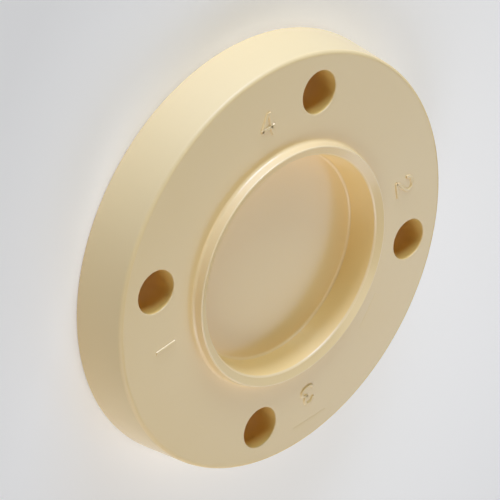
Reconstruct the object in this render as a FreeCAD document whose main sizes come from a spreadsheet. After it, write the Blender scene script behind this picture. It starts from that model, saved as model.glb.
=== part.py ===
import FreeCAD, Part
import os

import Sketcher
from FreeCAD import Vector

# One-piece moulded blind flange for 3 inch pipe, class 150 bolting, in millimetres.
# It lies on its flat sealing face: the origin is the centre of that face, and +Z is the axis,
# towards the face with the ring and the recess. A bolt hole is on +X.

doc = FreeCAD.newDocument("BlindFlange")

# Driving dimensions
sheet = doc.addObject("Spreadsheet::Sheet", "Sizes")
DRIVING = [
    ("bolt_circle", 152.4, "diameter of the circle through the bolt holes"),
    ("bolt_hole", 19.05, "diameter of a bolt hole"),
    ("bolt_count", 4, "number of bolt holes"),
    ("rim_land", 9.525, "plate left between a bolt hole and the rim, half-way up the rim"),
    ("ring_land", 12.7, "room for a washer between a bolt hole and the ring's top edge"),
    ("flange_thickness", 23.8, "sealing face to ringed face"),
    ("rim_draft", 7.0, "draft of the rim in degrees, wider towards the sealing face"),
    ("rim_front_round", 1.7, "round on the rim's edge at the ringed face"),
    ("rim_back_chamfer", 0.8, "chamfer on the rim's edge at the sealing face"),
    ("ring_height", 4.5, "height of the ring's outer edge above the ringed face"),
    ("ring_wall", 4.2, "width of the ring's top, from its outer edge to the recess"),
    ("ring_slope", 24.3, "fall of the ring's top towards the recess, in degrees"),
    ("ring_draft", 10.0, "draft of the ring's outer wall in degrees"),
    ("ring_foot_round", 1.5, "hollow round at the ring's foot"),
    ("ring_edge_chamfer", 0.3, "chamfer that breaks the two edges of the ring's top"),
    ("web_thickness", 13.1, "wall left between the recess floor and the sealing face"),
    ("recess_draft", 11.0, "draft of the recess wall in degrees"),
    ("recess_round", 1.2, "round between the recess wall and its floor"),
    ("groove_count", 3, "number of gasket grooves in the sealing face"),
    ("groove_width", 1.6, "width of a gasket groove at the face"),
    ("groove_depth", 0.8, "depth of a gasket groove"),
    ("groove_pitch", 5.0, "radial distance between gasket grooves"),
    ("groove_land", 6.0, "plain face left between the bolt holes and the outer groove"),
]

# Sizes worked out from the driving ones
DERIVED = [
    ("flange_radius", "=bolt_circle / 2 + bolt_hole / 2 + rim_land"),
    ("rim_back_radius", "=flange_radius + flange_thickness / 2 * tan(rim_draft)"),
    ("rim_front_radius", "=flange_radius - flange_thickness / 2 * tan(rim_draft)"),
    ("hole_inner_radius", "=bolt_circle / 2 - bolt_hole / 2"),
    ("ring_top_radius", "=hole_inner_radius - ring_land"),
    ("ring_foot_radius", "=ring_top_radius + ring_height * tan(ring_draft)"),
    ("ring_top_level", "=flange_thickness + ring_height"),
    ("mouth_radius", "=ring_top_radius - ring_wall"),
    ("mouth_level", "=ring_top_level - ring_wall * tan(ring_slope)"),
    ("floor_radius", "=mouth_radius - (mouth_level - web_thickness) * tan(recess_draft)"),
    ("foot_round_fit", "=min(ring_foot_round; ring_height / 2)"),
    ("ring_chamfer_fit", "=min(ring_edge_chamfer; ring_wall / 4; ring_height / 6)"),
    ("outer_groove_radius", "=hole_inner_radius - groove_land"),
]


def fill_sheet():
    """Writes every size to the sheet, one row each, under its own alias."""
    for row, (alias, value, note) in enumerate(DRIVING, start=1):
        sheet.set(f"A{row}", note)
        sheet.set(f"B{row}", str(value))
        sheet.setAlias(f"B{row}", alias)
    for row, (alias, formula) in enumerate(DERIVED, start=len(DRIVING) + 1):
        sheet.set(f"B{row}", formula)
        sheet.setAlias(f"B{row}", alias)
    doc.recompute()


def size(alias):
    return float(getattr(sheet, alias))


def origin_feature(body, role):
    """The body's own origin plane or axis with the given role."""
    return next(item for item in body.Origin.OriginFeatures if item.Role == role)


def sketch_on(body, role, name):
    sketch = body.newObject("Sketcher::SketchObject", name)
    sketch.AttachmentSupport = [(origin_feature(body, role), "")]
    sketch.MapMode = "FlatFace"
    return sketch


def closed_outline(sketch, corners):
    """Draws straight lines through the corners and back to the first; returns the lines' numbers."""
    lines = []
    for start, end in zip(corners, corners[1:] + corners[:1]):
        segment = Part.LineSegment(Vector(*start, 0), Vector(*end, 0))
        lines.append(sketch.addGeometry(segment, False))
    for line, following in zip(lines, lines[1:] + lines[:1]):
        sketch.addConstraint(Sketcher.Constraint("Coincident", line, 2, following, 1))
    return lines


def dimension(sketch, kind, line, point, expression):
    """Sets the distance of a line's point from the sketch's origin, bound to the sheet."""
    number = sketch.addConstraint(Sketcher.Constraint(kind, -1, 1, line, point, 1.0))
    sketch.setExpression(f"Constraints[{number}]", expression)


def place_corner(sketch, line, across, up):
    """Binds the start of a line to a radius and a level; None leaves it on the axis or the face."""
    if across:
        dimension(sketch, "DistanceX", line, 1, across)
    else:
        sketch.addConstraint(Sketcher.Constraint("PointOnObject", line, 1, -2))
    if up:
        dimension(sketch, "DistanceY", line, 1, up)
    else:
        sketch.addConstraint(Sketcher.Constraint("PointOnObject", line, 1, -1))


def corner_edges(feature, corners):
    """Names of the feature's round edges about the axis at the given (radius, level) corners."""
    tolerance = 1e-4
    names = []
    for number, edge in enumerate(feature.Shape.Edges, start=1):
        curve = edge.Curve
        if not isinstance(curve, Part.Circle):
            continue
        for radius, level in corners:
            same_centre = (curve.Center - Vector(0, 0, level)).Length < tolerance
            if same_centre and abs(curve.Radius - radius) < tolerance:
                names.append(f"Edge{number}")
    return names


def dress_corners(body, base, kind, name, corners, alias):
    """Rounds or chamfers the edges at the given corners, each a radius and a level in the sheet."""
    places = [(size(radius), size(level) if level else 0.0) for radius, level in corners]
    edges = corner_edges(base, places)
    if len(edges) != len(corners):
        raise RuntimeError(f"{name}: {len(edges)} of {len(corners)} edges found")
    feature = body.newObject(f"PartDesign::{kind}", name)
    feature.Base = (base, edges)
    feature.setExpression("Radius" if kind == "Fillet" else "Size", f"Sizes.{alias}")
    doc.recompute()
    return feature


# Half-section of the moulding, turned about the axis: plate, ring and recess in one outline
def turned_blank(body):
    corners = [
        (None, None),
        ("rim_back_radius", None),
        ("rim_front_radius", "flange_thickness"),
        ("ring_foot_radius", "flange_thickness"),
        ("ring_top_radius", "ring_top_level"),
        ("mouth_radius", "mouth_level"),
        ("floor_radius", "web_thickness"),
        (None, "web_thickness"),
    ]
    points = [(size(x) if x else 0.0, size(y) if y else 0.0) for x, y in corners]
    sketch = sketch_on(body, "XZ_Plane", "HalfSection")
    lines = closed_outline(sketch, points)
    for line, (across, up) in zip(lines, corners):
        place_corner(sketch, line, across and f"Sizes.{across}", up and f"Sizes.{up}")
    blank = body.newObject("PartDesign::Revolution", "Blank")
    blank.Profile = sketch
    blank.ReferenceAxis = (origin_feature(body, "Z_Axis"), [""])
    blank.Angle = 360.0
    doc.recompute()
    return blank


# Rounds and broken edges left by the mould on the rim, on the ring and in the recess
def dressed(body, blank):
    face, back = "flange_thickness", None
    ring_top = [("ring_top_radius", "ring_top_level"), ("mouth_radius", "mouth_level")]
    steps = [
        ("Fillet", "RimFrontRound", [("rim_front_radius", face)], "rim_front_round"),
        ("Fillet", "RecessRound", [("floor_radius", "web_thickness")], "recess_round"),
        ("Fillet", "RingFootRound", [("ring_foot_radius", face)], "foot_round_fit"),
        ("Chamfer", "RimBackChamfer", [("rim_back_radius", back)], "rim_back_chamfer"),
        ("Chamfer", "RingEdgeChamfer", ring_top, "ring_chamfer_fit"),
    ]
    feature = blank
    for kind, name, corners, alias in steps:
        feature = dress_corners(body, feature, kind, name, corners, alias)
    return feature


# Shallow V-shaped rings in the sealing face, which grip the gasket
def gasket_grooves(body):
    sketch = sketch_on(body, "XZ_Plane", "GrooveSection")
    for index in range(int(size("groove_count"))):
        middle = f"Sizes.outer_groove_radius - {index} * Sizes.groove_pitch"
        radius = size("outer_groove_radius") - index * size("groove_pitch")
        half = size("groove_width") / 2
        points = [(radius - half, 0.0), (radius + half, 0.0), (radius, size("groove_depth"))]
        lines = closed_outline(sketch, points)
        place_corner(sketch, lines[0], f"{middle} - Sizes.groove_width / 2", None)
        place_corner(sketch, lines[1], f"{middle} + Sizes.groove_width / 2", None)
        place_corner(sketch, lines[2], middle, "Sizes.groove_depth")
    grooves = body.newObject("PartDesign::Groove", "GasketGrooves")
    grooves.Profile = sketch
    grooves.ReferenceAxis = (origin_feature(body, "Z_Axis"), [""])
    grooves.Angle = 360.0
    doc.recompute()
    return grooves


# Straight bolt holes on the bolt circle
def bolt_holes(body):
    sketch = sketch_on(body, "XY_Plane", "BoltHolePlace")
    circle = sketch.addGeometry(
        Part.Circle(Vector(size("bolt_circle") / 2, 0, 0), Vector(0, 0, 1), size("bolt_hole") / 2), False
    )
    sketch.addConstraint(Sketcher.Constraint("PointOnObject", circle, 3, -1))
    dimension(sketch, "DistanceX", circle, 3, "Sizes.bolt_circle / 2")
    diameter = sketch.addConstraint(Sketcher.Constraint("Diameter", circle, size("bolt_hole")))
    sketch.setExpression(f"Constraints[{diameter}]", "Sizes.bolt_hole")
    hole = body.newObject("PartDesign::Pocket", "BoltHole")
    hole.Profile = sketch
    hole.Type = "ThroughAll"
    hole.Reversed = True
    doc.recompute()
    pattern = body.newObject("PartDesign::PolarPattern", "BoltHoles")
    pattern.Originals = [hole]
    pattern.Axis = (origin_feature(body, "Z_Axis"), [""])
    pattern.Angle = 360.0
    pattern.setExpression("Occurrences", "Sizes.bolt_count")
    body.Tip = pattern
    doc.recompute()
    return pattern


def expect_cut(before, after, name):
    """A cut that points away from the solid removes nothing, so the volumes are compared."""
    if after.Shape.Volume >= before.Shape.Volume:
        raise RuntimeError(f"{name} removed nothing")


def check_document():
    """Stops before anything is written if an object failed or a shape isn't one valid solid."""
    for item in doc.Objects:
        if "Invalid" in item.State or "Error" in item.State:
            raise RuntimeError(f"{item.Label} failed: {item.State}")
    for body in doc.findObjects("PartDesign::Body"):
        shape = body.Shape
        if shape.isNull() or not shape.isValid() or len(shape.Solids) != 1:
            raise RuntimeError(f"{body.Label} is not one valid solid")


fill_sheet()
flange = doc.addObject("PartDesign::Body", "Flange")
flange.Label = "flange"
blank = turned_blank(flange)
moulding = dressed(flange, blank)
grooved = gasket_grooves(flange)
expect_cut(moulding, grooved, "GasketGrooves")
drilled = bolt_holes(flange)
expect_cut(grooved, drilled, "BoltHoles")
doc.recompute()
check_document()

os.makedirs("parts", exist_ok=True)
for body in doc.findObjects("PartDesign::Body"):
    body.Shape.exportStep(f"parts/{body.Label}.step")
    print(body.Label, "volume", round(body.Shape.Volume, 1), "mm3")
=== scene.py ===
from math import cos, hypot, pi, radians, sin

import bmesh
import bpy
from mathutils import Matrix, Vector


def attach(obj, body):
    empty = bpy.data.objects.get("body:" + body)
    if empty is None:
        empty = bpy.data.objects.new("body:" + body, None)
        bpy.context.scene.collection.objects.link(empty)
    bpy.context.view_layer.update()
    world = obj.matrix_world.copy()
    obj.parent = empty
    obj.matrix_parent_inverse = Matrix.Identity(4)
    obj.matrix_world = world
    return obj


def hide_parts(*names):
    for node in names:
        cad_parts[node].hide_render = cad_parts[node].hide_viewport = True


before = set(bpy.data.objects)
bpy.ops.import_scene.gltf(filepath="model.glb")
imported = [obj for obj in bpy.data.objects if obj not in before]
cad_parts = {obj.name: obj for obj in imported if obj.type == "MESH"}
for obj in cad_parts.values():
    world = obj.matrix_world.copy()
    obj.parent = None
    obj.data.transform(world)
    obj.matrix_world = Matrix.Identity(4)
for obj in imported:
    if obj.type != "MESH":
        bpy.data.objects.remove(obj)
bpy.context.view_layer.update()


# The moulding: the whole flange is one shot of cream plastic, the same all round its axis. The mould leaves a
# drafted rim, a low ring round a shallow recess, and small rounds on the edges. The sealing face is flat with
# three V-shaped grooves for the gasket. Points of the section are (radius, level).
MM = 0.001
BOLT_CIRCLE_RADIUS = 76.2 * MM
HOLE_RADIUS = 9.525 * MM
THICKNESS = 23.8 * MM
RIM_BACK = (96.711 * MM, 0)
RIM_FRONT = (93.789 * MM, THICKNESS)
RING_FOOT = (54.768 * MM, THICKNESS)
RING_TOP = (53.975 * MM, 28.3 * MM)
MOUTH = (49.775 * MM, 26.404 * MM)
RECESS_FLOOR = (47.189 * MM, 13.1 * MM)
GROOVE_RADII = (50.675 * MM, 55.675 * MM, 60.675 * MM)
GROOVE_HALF_WIDTH = 0.8 * MM
GROOVE_DEPTH = 0.8 * MM

RIM_ROUND = 1.5 * MM
RIM_BACK_ROUND = 0.8 * MM
RING_FOOT_ROUND = 1.26 * MM
RING_EDGE_ROUND = 0.65 * MM
RECESS_ROUND = 1.0 * MM
ROUNDS = (
    # corner of the section, reach of the round along each face, segments
    (RIM_FRONT, RIM_ROUND, 6), (RIM_BACK, RIM_BACK_ROUND, 4), (RING_FOOT, RING_FOOT_ROUND, 5),
    (RING_TOP, RING_EDGE_ROUND, 5), (MOUTH, RING_EDGE_ROUND, 5), (RECESS_FLOOR, RECESS_ROUND, 5),
)
TURN_STEPS = 240
SAME_PLACE = 0.02 * MM
SEAM_WELD = 0.001 * MM


def edges_at(bm, radius, level):
    """The edges of the round ridge at this distance from the axis and this height."""
    def near(vert):
        return abs(vert.co.xy.length - radius) < SAME_PLACE and abs(vert.co.z - level) < SAME_PLACE
    return [edge for edge in bm.edges if near(edge.verts[0]) and near(edge.verts[1])]


def round_edge(bm, corner, reach, segments):
    """Rounds the ridge at a corner of the section, this far along each face."""
    bmesh.ops.bevel(
        bm, geom=edges_at(bm, *corner), offset=reach, offset_type="OFFSET", segments=segments,
        profile=0.5, affect="EDGES", material=-1,
    )


def turn(bm, outline, steps):
    """Turns an outline of (radius, level) points about the axis and closes it at the axis."""
    verts = [bm.verts.new((radius, 0, level)) for radius, level in outline]
    edges = [bm.edges.new(pair) for pair in zip(verts, verts[1:])]
    bmesh.ops.spin(
        bm, geom=verts + edges, cent=(0, 0, 0), axis=(0, 0, 1), angle=2 * pi, steps=steps, use_merge=True,
    )
    bmesh.ops.remove_doubles(bm, verts=bm.verts, dist=SEAM_WELD)
    bmesh.ops.recalc_face_normals(bm, faces=bm.faces)


def new_object(name, bm):
    mesh = bpy.data.meshes.new(name)
    bm.to_mesh(mesh)
    bm.free()
    piece = bpy.data.objects.new(name, mesh)
    bpy.context.scene.collection.objects.link(piece)
    return piece


blank = bmesh.new()
grooves = []
for groove in GROOVE_RADII:
    grooves += [(groove - GROOVE_HALF_WIDTH, 0), (groove, GROOVE_DEPTH), (groove + GROOVE_HALF_WIDTH, 0)]
turn(blank, [
    (0, 0), *grooves, RIM_BACK, RIM_FRONT, RING_FOOT, RING_TOP, MOUTH, RECESS_FLOOR, (0, RECESS_FLOOR[1]),
], TURN_STEPS)
for corner, reach, segments in ROUNDS:
    round_edge(blank, corner, reach, segments)
moulding = new_object("flange_moulding", blank)


# The bolt holes: four straight holes that core pins leave in the plate, each with its mouths just broken so
# that a bolt starts easily. The cutter has the shape of a pin with a flare at both ends.
MOUTH_ROUND = 0.4 * MM
FLARE_STEPS = 4
PIN_OVERSHOOT = 2 * MM
PIN_STEPS = 96
CUT_WELD = 0.002 * MM


def cut_away(piece, cutter):
    """Takes the cutter's shape out of the piece, welds what the cut left doubled, and removes the cutter."""
    cut = piece.modifiers.new("cut", "BOOLEAN")
    cut.operation = "DIFFERENCE"
    cut.solver = "EXACT"
    cut.object = cutter
    bpy.context.view_layer.update()
    shape = bpy.data.meshes.new_from_object(piece.evaluated_get(bpy.context.evaluated_depsgraph_get()))
    piece.modifiers.clear()
    bm = bmesh.new()
    bm.from_mesh(shape)
    bmesh.ops.remove_doubles(bm, verts=bm.verts, dist=CUT_WELD)
    bmesh.ops.dissolve_degenerate(bm, edges=bm.edges, dist=CUT_WELD)
    bm.to_mesh(shape)
    bm.free()
    piece.data = shape
    bpy.data.objects.remove(cutter)


flare = []
for step in range(FLARE_STEPS + 1):
    turned = radians(90 * step / FLARE_STEPS)
    flare.append((HOLE_RADIUS + MOUTH_ROUND * (1 - cos(turned)), MOUTH_ROUND * (1 - sin(turned))))
wide = flare[-1][0]
for quarter in range(4):
    pin = bmesh.new()
    turn(pin, [
        (0, -PIN_OVERSHOOT), (wide, -PIN_OVERSHOOT), *reversed(flare),
        *[(radius, THICKNESS - inset) for radius, inset in flare],
        (wide, THICKNESS + PIN_OVERSHOOT), (0, THICKNESS + PIN_OVERSHOOT),
    ], PIN_STEPS)
    bmesh.ops.translate(pin, verts=pin.verts, vec=(BOLT_CIRCLE_RADIUS, 0, 0))
    bmesh.ops.rotate(pin, verts=pin.verts, matrix=Matrix.Rotation(quarter * pi / 2, 3, "Z"))
    cut_away(moulding, new_object(f"core_pin_{quarter}", pin))


# The insert lines: two straight hairlines in the face, where changeable inserts meet the mould. They are so
# fine that only light from the side shows them. Each is a V, cut by a blade between two ends, given in mm.
INSERT_LINES = (((21.4, -81.6), (40.7, -75.3)), ((53.9, -38.9), (60.4, -23.1)))
LINE_HALF_WIDTH = 0.25 * MM
LINE_DEPTH = 0.12 * MM

for start, end in INSERT_LINES:
    run = (Vector(end) - Vector(start)) * MM
    blade = bmesh.new()
    triangle = ((-2 * LINE_HALF_WIDTH, LINE_DEPTH), (2 * LINE_HALF_WIDTH, LINE_DEPTH), (0, -LINE_DEPTH))
    corners = [blade.verts.new((0, across, THICKNESS + level)) for across, level in triangle]
    far_end = bmesh.ops.extrude_face_region(blade, geom=[blade.faces.new(corners)])["geom"]
    far_corners = [item for item in far_end if isinstance(item, bmesh.types.BMVert)]
    bmesh.ops.translate(blade, verts=far_corners, vec=(run.length, 0, 0))
    bmesh.ops.recalc_face_normals(blade, faces=blade.faces)
    heading = Matrix.Rotation(run.to_3d().to_track_quat("X", "Z").to_euler().z, 3, "Z")
    bmesh.ops.rotate(blade, verts=blade.verts, matrix=heading)
    bmesh.ops.translate(blade, verts=blade.verts, vec=(start[0] * MM, start[1] * MM, 0))
    cut_away(moulding, new_object("insert_blade", blade))


# The plastic: cream, moulded against finely blasted steel. It has a satin sheen, a faint clouding and a grain
# that shows only where light skims it. The ring's thin edges are painted paler as a painted highlight, and
# the recess and hole walls are painted warmer and deeper as painted shade. The rim's front round is duller.
CREAM = (0.90, 0.655, 0.31, 1)
CREAM_DEEP = (0.89, 0.635, 0.29, 1)
# Painted highlight: the ring's edge rounds are given this paler cream.
EDGE_HIGHLIGHT_CREAM = (0.96, 0.715, 0.37, 1)
# Painted shade in the bolt holes: the wall colour deepens from the mouth colour to the bore colour below the
# face.
BORE_MOUTH_SHADE = (1.0, 0.69, 0.22, 1)
BORE_DEEP_SHADE = (0.85, 0.53, 0.14, 1)
# Painted shade on the recess walls: a warmer cream for their shade and the warm light bounced between them.
RECESS_SHADE_CREAM = (0.99, 0.70, 0.28, 1)
# How far below the face the hole walls' painted shade takes to deepen fully.
BORE_SHADE_DEPTH = 6 * MM
CLOUD_SCALE = 22.0
CLOUD_DETAIL = 3.0
CLOUD_ROUGHNESS = 0.06
GRAIN_SCALE = 2600.0
GRAIN_DETAIL = 2.0
GRAIN_STRENGTH = 0.25
GRAIN_HEIGHT = 0.04 * MM
COAT_ROUGHNESS = 0.2
UPRIGHT = 0.1
WALL_SLACK = 0.01 * MM


class Wire:
    """A shader socket that takes part in sums; each operator adds a Math node."""

    tree = None

    def __init__(self, socket):
        self.socket = socket

    @classmethod
    def node(cls, kind, settings=(), inputs=(), output=0):
        """Adds a node with its settings, then its inputs by name or number, and returns one output."""
        made = cls.tree.nodes.new(kind)
        for key, value in dict(settings).items():
            setattr(made, key, value)
        for key, value in dict(inputs).items():
            if isinstance(value, Wire):
                cls.tree.links.new(value.socket, made.inputs[key])
            else:
                made.inputs[key].default_value = value
        return Wire(made.outputs[output])

    @staticmethod
    def maths(operation, first, second):
        return Wire.node("ShaderNodeMath", {"operation": operation}, {0: first, 1: second})

    def __radd__(self, other):
        return self.maths("ADD", other, self)

    def __rsub__(self, other):
        return self.maths("SUBTRACT", other, self)

    def __mul__(self, other):
        return self.maths("MULTIPLY", self, other)

    def __rmul__(self, other):
        return self.maths("MULTIPLY", other, self)


def new_material(name):
    """An empty node material, ready for Wire nodes; returns it with its output node."""
    material = bpy.data.materials.new(name)
    material.use_nodes = True
    material.node_tree.nodes.clear()
    Wire.tree = material.node_tree
    return material, material.node_tree.nodes.new("ShaderNodeOutputMaterial")


def noise(place, scale, detail):
    return Wire.node("ShaderNodeTexNoise", {}, {"Vector": place, "Scale": scale, "Detail": detail})


def cream_plastic(name, light, deep, least_rough, gloss=0.5, fade=None):
    """Cream plastic, clouded between two colours or, with a fade, deepening that far under the face."""
    plastic, plastic_out = new_material(name)
    place = Wire.node("ShaderNodeTexCoord", output="Object")
    clouding = noise(place, CLOUD_SCALE, CLOUD_DETAIL)
    grain = noise(place, GRAIN_SCALE, GRAIN_DETAIL)
    share = clouding
    if fade:
        share = (THICKNESS - Wire.node("ShaderNodeSeparateXYZ", {}, {0: place}, output="Z")) * (1 / fade)
    # The Mix node has a set of sockets for each type of data: 6, 7 and output 2 are those for colours.
    hue = Wire.node("ShaderNodeMix", {"data_type": "RGBA"}, {0: share, 6: light, 7: deep}, output=2)
    skin = Wire.node("ShaderNodeBump", {}, {
        "Strength": GRAIN_STRENGTH, "Distance": GRAIN_HEIGHT, "Height": grain,
    })
    body = Wire.node("ShaderNodeBsdfPrincipled", {}, {
        "Base Color": hue, "Roughness": least_rough + CLOUD_ROUGHNESS * clouding, "Normal": skin,
        "Coat Weight": gloss, "Coat Roughness": COAT_ROUGHNESS,
    })
    Wire.tree.links.new(body.socket, plastic_out.inputs["Surface"])
    return plastic


def finish_shape(piece, materials, sharp_angle):
    """Smooth shading with crisp corners, and the piece's materials."""
    mesh = piece.data
    mesh.materials.clear()
    for material in materials:
        mesh.materials.append(material)
    mesh.shade_smooth()
    mesh.set_sharp_from_angle(angle=radians(sharp_angle))
    shading = piece.modifiers.new("even_shading", "WEIGHTED_NORMAL")
    shading.keep_sharp = True


skin_plastic = cream_plastic("cream_plastic", CREAM, CREAM_DEEP, least_rough=0.45)
edge_highlight_plastic = cream_plastic("ring_edge_highlight", EDGE_HIGHLIGHT_CREAM, EDGE_HIGHLIGHT_CREAM, least_rough=0.38)
bore_shade_plastic = cream_plastic("bored_wall_shade", BORE_MOUTH_SHADE, BORE_DEEP_SHADE, least_rough=0.5, fade=BORE_SHADE_DEPTH)
recess_shade_plastic = cream_plastic("recess_wall_shade", RECESS_SHADE_CREAM, RECESS_SHADE_CREAM, least_rough=0.45)
round_plastic = cream_plastic("rim_round", CREAM, CREAM_DEEP, least_rough=0.5, gloss=0.08)
finishes = [skin_plastic, edge_highlight_plastic, bore_shade_plastic, recess_shade_plastic, round_plastic]

finish_shape(moulding, finishes, sharp_angle=32)
# A hole's wall is what stands nearly upright within the hole's radius, the slack included.
for face in moulding.data.polygons:
    middle = face.center
    on_section = Vector((middle.xy.length, middle.z))
    to_ring_edge = min((on_section - Vector(RING_TOP)).length, (on_section - Vector(MOUTH)).length)
    across = max(abs(middle.x), abs(middle.y)) - BOLT_CIRCLE_RADIUS
    along = min(abs(middle.x), abs(middle.y))
    # The ring's edge rounds take the paler plastic: a painted highlight.
    if to_ring_edge < RING_EDGE_ROUND:
        face.material_index = finishes.index(edge_highlight_plastic)
    # Hole walls take the colour that deepens downwards: painted shade.
    elif abs(face.normal.z) < UPRIGHT and hypot(across, along) < HOLE_RADIUS + WALL_SLACK:
        face.material_index = finishes.index(bore_shade_plastic)
    # The recess walls take the warmer colour: painted shade warmed by bounced light.
    elif on_section.x < MOUTH[0] and RECESS_FLOOR[1] + RECESS_ROUND < middle.z < MOUTH[1]:
        face.material_index = finishes.index(recess_shade_plastic)
    elif (on_section - Vector(RIM_FRONT)).length < RIM_ROUND:
        face.material_index = finishes.index(round_plastic)
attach(moulding, "root")
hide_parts("flange")


# The numerals: plain figures 1 to 4 beside the bolt holes, cut into the mould so that they stand up from the
# face. They give the order in which the bolts are tightened, and each has its foot towards the axis. The 1 is
# cut a little shallower than the others.
NUMERAL_CENTRE = 71.0 * MM
STROKE_SECTION = [
    (-0.86, -0.1), (-0.80, 0), (-0.60, 0.47), (-0.46, 0.56),
    (0.46, 0.56), (0.60, 0.47), (0.80, 0), (0.86, -0.1),
]
SMOOTH_ORDER = 4
SMOOTH_STEPS = 8
NUMERALS = {
    # figure: azimuth in degrees, height as a share of the section's, strokes in mm
    "1": (202.5, 0.8, [[(1.3, 5.0), (1.3, -5.2)]]),
    "2": (22.5, 1.05, [
        [
            (-3.0, 1.9), (-2.9, 4.3), (0.3, 5.5), (3.7, 4.6),
            (4.3, 1.8), (1.4, -0.9), (-1.2, -2.2), (-2.9, -4.4),
        ],
        [(-3.2, -4.4), (4.4, -4.4)],
    ]),
    "3": (292.5, 1.05, [
        [(-2.5, 2.6), (-2.0, 4.6), (0.4, 5.2), (2.7, 3.9), (2.3, 1.1), (0.3, 0.5)],
        [(0.3, 0.5), (3.0, 0.3), (3.9, -1.9), (2.1, -3.7), (-0.8, -4.3), (-3.0, -3.4), (-3.2, -1.9)],
    ]),
    "4": (112.5, 1.05, [
        [(0.2, 4.9), (-4.3, -2.1)],
        [(-4.6, -1.8), (2.9, -1.8)],
        [(0.8, 5.1), (1.2, -5.3)],
    ]),
}


def new_curve(name, rows, closed):
    """A curve with one row of points for each stroke: straight between two points, smooth through more."""
    curve = bpy.data.curves.new(name, "CURVE")
    curve.dimensions = "3D"
    curve.twist_mode = "Z_UP"
    for row in rows:
        smooth = len(row) > 2 and not closed
        spline = curve.splines.new("NURBS" if smooth else "POLY")
        spline.points.add(len(row) - 1)
        for point, (x, y) in zip(spline.points, row):
            point.co = (x * MM, y * MM, 0, 1)
        spline.use_cyclic_u = closed
        if smooth:
            spline.order_u = SMOOTH_ORDER
            spline.use_endpoint_u = True
            spline.resolution_u = SMOOTH_STEPS
    item = bpy.data.objects.new(name, curve)
    bpy.context.scene.collection.objects.link(item)
    return item


section = new_curve("stroke_section", [STROKE_SECTION], True)
for figure, (azimuth, relief, strokes) in NUMERALS.items():
    drawn = new_curve("drawn_figure", strokes, False)
    drawn.data.bevel_mode = "OBJECT"
    drawn.data.bevel_object = section
    drawn.data.use_fill_caps = True
    bpy.context.view_layer.update()
    shape = bpy.data.meshes.new_from_object(drawn.evaluated_get(bpy.context.evaluated_depsgraph_get()))
    shape.transform(
        Matrix.Rotation(radians(azimuth), 4, "Z") @ Matrix.Translation((NUMERAL_CENTRE, 0, THICKNESS))
        @ Matrix.Rotation(-pi / 2, 4, "Z") @ Matrix.Diagonal((1, 1, relief, 1))
    )
    numeral = bpy.data.objects.new(f"numeral_{figure}", shape)
    bpy.context.scene.collection.objects.link(numeral)
    bpy.data.objects.remove(drawn)
    finish_shape(numeral, [skin_plastic], sharp_angle=50)
    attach(numeral, "root")
bpy.data.objects.remove(section)


# The floor: a plain pale sheet under the flange. It is lighter to the camera than the lamps make it, most of
# all at one spot and less with the square of the distance from there, and it keeps the flange's shadow.
FLOOR_HALF = 4.0
FLOOR_COLOUR = (0.80, 0.80, 0.80, 1)
LIFT = (0.316, 0.283, 0.247)
BRIGHTEST_SPOT = (0.11, -0.01, 0)
FALL = 2.0
MOST_FALL = 0.15


def to_camera_or_gloss():
    """1 for what the camera or a glossy surface sees, and 0 for what lights the flange."""
    to_camera = Wire.node("ShaderNodeLightPath", output="Is Camera Ray")
    to_gloss = Wire.node("ShaderNodeLightPath", output="Is Glossy Ray")
    return Wire.maths("MAXIMUM", to_camera, to_gloss)


floor_shape = bmesh.new()
bmesh.ops.create_grid(floor_shape, x_segments=1, y_segments=1, size=FLOOR_HALF)
floor = new_object("floor", floor_shape)
paper, paper_out = new_material("pale_paper")
place = Wire.node("ShaderNodeTexCoord", output="Object")
far = Wire.node(
    "ShaderNodeVectorMath", {"operation": "DISTANCE"}, {0: place, 1: BRIGHTEST_SPOT}, output="Value",
)
fall = Wire.maths("MINIMUM", FALL * far * far, MOST_FALL)
glow = Wire.node("ShaderNodeCombineColor", {}, {channel: level - fall for channel, level in enumerate(LIFT)})
sheet = Wire.node("ShaderNodeBsdfDiffuse", {}, {"Color": FLOOR_COLOUR})
lift = Wire.node("ShaderNodeEmission", {}, {"Color": glow, "Strength": to_camera_or_gloss()})
both = Wire.node("ShaderNodeAddShader", {}, {0: sheet, 1: lift})
Wire.tree.links.new(both.socket, paper_out.inputs["Surface"])
floor.data.materials.append(paper)


# The light: soft lamps all round, tinted like the light in the photo. Two low ones at one side whiten the rim
# and skim the face, and the others fill the ring, the recess and the far side. The surround hardly lights the
# flange, and looks pale to the camera and in the sheen.
LAMPS = (
    # name, azimuth and elevation in degrees, distance, width and height in m, power in W, colour
    ("rim_lamp", 102, 3, 2.6, 2.0, 0.3, 50.0, (0.83, 1.0, 1.6)),
    ("skim_lamp", 95, 16, 1.6, 0.9, 0.3, 8.0, (0.75, 1.0, 1.3)),
    ("ring_lamp", -23, 33, 1.6, 0.6, 0.6, 1.8, (0.8, 1.0, 1.4)),
    ("side_lamp", -60, 35, 1.6, 0.6, 0.6, 2.9, (0.9, 1.0, 1.3)),
    ("foot_lamp", 245, 31, 1.6, 0.9, 0.9, 8.6, (0.9, 1.0, 1.2)),
    ("low_lamp", 245, 5, 1.6, 1.2, 0.25, 2.8, (0.98, 1.0, 1.4)),
    ("head_lamp", 0, 89, 1.6, 0.7, 0.7, 4.7, (1.06, 1.0, 0.9)),
)
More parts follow.
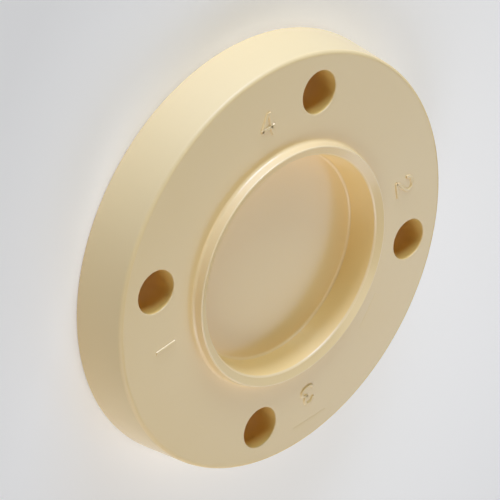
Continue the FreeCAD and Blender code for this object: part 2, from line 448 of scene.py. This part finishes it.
SURROUND = (1.0, 1.0, 0.3, 1)
SURROUND_STRENGTH = 0.055
BACKDROP = (0.70, 0.71, 0.73, 1)

for name, azimuth, elevation, distance, width, height, power, colour in LAMPS:
    lamp = bpy.data.lights.new(name, "AREA")
    lamp.shape = "RECTANGLE"
    lamp.size = width
    lamp.size_y = height
    lamp.energy = power
    lamp.color = colour
    item = bpy.data.objects.new(name, lamp)
    turned, raised = radians(azimuth), radians(elevation)
    direction = Vector((cos(raised) * cos(turned), cos(raised) * sin(turned), sin(raised)))
    item.location = direction * distance
    item.rotation_euler = direction.to_track_quat("Z", "Y").to_euler()
    bpy.context.scene.collection.objects.link(item)

world = bpy.data.worlds.new("surround")
world.use_nodes = True
world.node_tree.nodes.clear()
bpy.context.scene.world = world
Wire.tree = world.node_tree
dim = Wire.node("ShaderNodeBackground", {}, {"Color": SURROUND, "Strength": SURROUND_STRENGTH})
pale = Wire.node("ShaderNodeBackground", {}, {"Color": BACKDROP})
seen = Wire.node("ShaderNodeMixShader", {}, {0: to_camera_or_gloss(), 1: dim, 2: pale})
world_out = world.node_tree.nodes.new("ShaderNodeOutputWorld")
Wire.tree.links.new(seen.socket, world_out.inputs["Surface"])


# The camera: where the photo was taken from, worked out from the bolt holes. It is a long lens, turned about
# its own axis, because the flange lies down here.
EYE = Vector((-0.71069, 0.35221, 0.64123))
AIM = Vector((-0.02569, 0.01051, 0.0238))
ROLL = radians(117.083)
FOCAL_LENGTH = 172.465
SENSOR_WIDTH = 36
NEAREST_SEEN = 0.01

lens = bpy.data.cameras.new("camera")
lens.sensor_width = SENSOR_WIDTH
lens.lens = FOCAL_LENGTH
lens.clip_start = NEAREST_SEEN
camera = bpy.data.objects.new("camera", lens)
bpy.context.scene.collection.objects.link(camera)
sight = (AIM - EYE).to_track_quat("-Z", "Y").to_matrix().to_4x4()
camera.matrix_world = Matrix.Translation(EYE) @ sight @ Matrix.Rotation(ROLL, 4, "Z")
bpy.context.scene.camera = camera
bpy.context.scene.view_settings.view_transform = "Standard"
